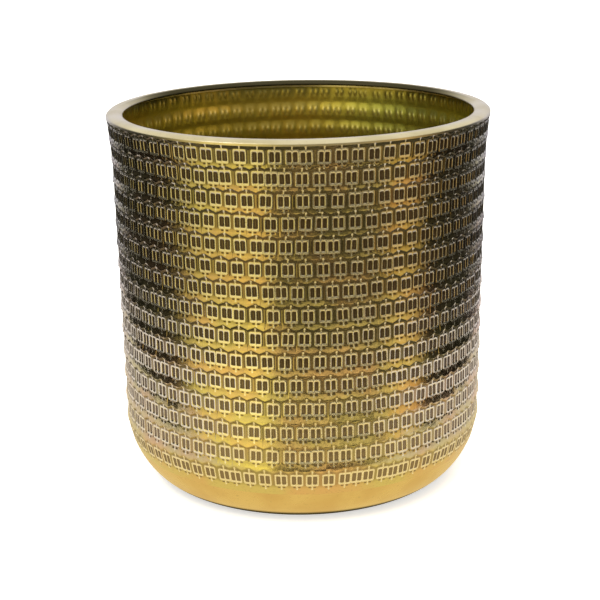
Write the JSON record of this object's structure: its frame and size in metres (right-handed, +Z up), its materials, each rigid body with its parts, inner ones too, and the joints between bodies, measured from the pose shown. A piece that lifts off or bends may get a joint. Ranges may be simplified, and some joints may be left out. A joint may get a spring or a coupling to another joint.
{
  "type": "planter pot",
  "caption": "Round brass planter pot with hand-stamped walls, a rounded shoulder, a plain raised-floor base and a smooth crowned rim.",
  "frame": {"origin": "centre of the pot's footprint, on the surface it stands on", "axes": "+Z up along the pot's own axis; the pot is round, so +X and -Y (the front) are free choices"},
  "size_m": [0.2, 0.2, 0.198],
  "materials": {
    "stamped_brass": "hand-stamped relief, worn bright lands over dark brown patina",
    "plain_brass": "satin, faint brushing round the pot",
    "rim_brass": "smooth satin, paler than the wall"
  },
  "bodies": {
    "root": {"stamped_wall": "stamped_brass", "base_pan": "plain_brass", "rim_ring": "rim_brass"}
  },
  "joints": []
}
